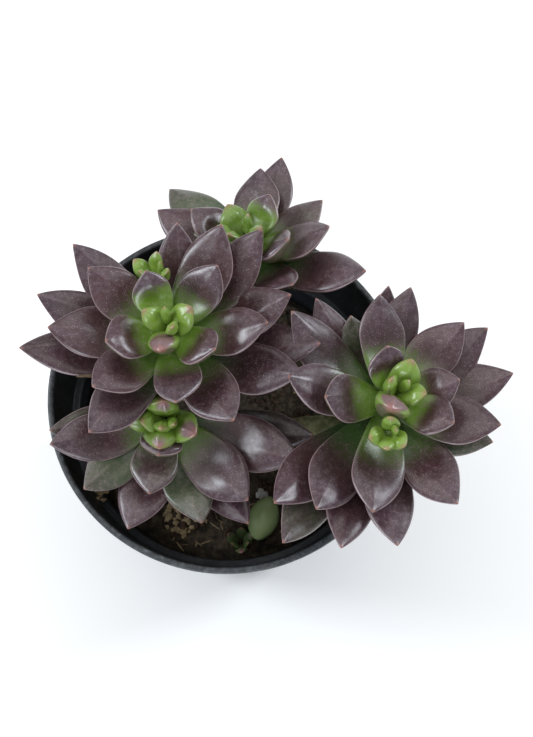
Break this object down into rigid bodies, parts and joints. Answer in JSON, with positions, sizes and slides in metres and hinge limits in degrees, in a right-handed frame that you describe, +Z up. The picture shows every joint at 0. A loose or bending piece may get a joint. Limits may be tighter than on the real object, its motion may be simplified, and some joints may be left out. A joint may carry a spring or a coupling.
{
  "type": "potted sedeveria",
  "caption": "Rosette succulent with thick pointed purple leaves and green hearts on short stems, growing in a round black nursery pot.",
  "frame": {"origin": "centre of the pot's flat base, on the surface it stands on", "axes": "+Z up along the pot's axis; +Y towards the back rosette; +X towards the rosette that leans over the rim; the open soil at the front faces -Y"},
  "size_m": [0.1202, 0.107, 0.1113],
  "materials": {
    "pot_plastic": "satin",
    "soil": "matte",
    "stem_skin": "matte",
    "young_leaf": "satin",
    "leaf": "satin"
  },
  "bodies": {
    "root": {"pot": "pot_plastic", "soil": "soil", "fallen_leaf": "young_leaf", "heart_a": "young_leaf", "heart_b": "young_leaf", "heart_c": "young_leaf", "heart_d": "young_leaf", "leaf_a_01": "leaf", "leaf_a_02": "leaf", "leaf_a_03": "leaf", "leaf_a_04": "leaf", "leaf_a_05": "leaf", "leaf_a_06": "leaf", "leaf_a_07": "leaf", "leaf_a_08": "leaf", "leaf_a_09": "leaf", "leaf_a_10": "leaf", "leaf_a_11": "leaf", "leaf_a_12": "leaf", "leaf_a_13": "leaf", "leaf_a_14": "leaf", "leaf_a_15": "leaf", "leaf_b_01": "leaf", "leaf_b_02": "leaf", "leaf_b_03": "leaf", "leaf_b_04": "leaf", "leaf_b_05": "leaf", "leaf_b_06": "leaf", "leaf_b_07": "leaf", "leaf_b_08": "leaf", "leaf_b_09": "leaf", "leaf_b_10": "leaf", "leaf_b_11": "leaf", "leaf_b_12": "leaf", "leaf_b_13": "leaf", "leaf_b_14": "leaf", "leaf_b_15": "leaf", "leaf_b_16": "leaf", "leaf_c_01": "leaf", "leaf_c_02": "leaf", "leaf_c_03": "leaf", "leaf_c_04": "leaf", "leaf_c_05": "leaf", "leaf_c_06": "leaf", "leaf_c_07": "leaf", "leaf_c_08": "leaf", "leaf_d_01": "leaf", "leaf_d_02": "leaf", "leaf_d_03": "leaf", "leaf_d_04": "leaf", "leaf_d_05": "leaf", "leaf_d_06": "leaf", "leaf_d_07": "leaf", "offset_behind_a": "young_leaf", "offset_on_b": "young_leaf", "small_offset": "young_leaf", "stem_a": "stem_skin", "stem_b": "stem_skin", "stem_c": "stem_skin", "stem_d": "stem_skin"}
  },
  "joints": []
}
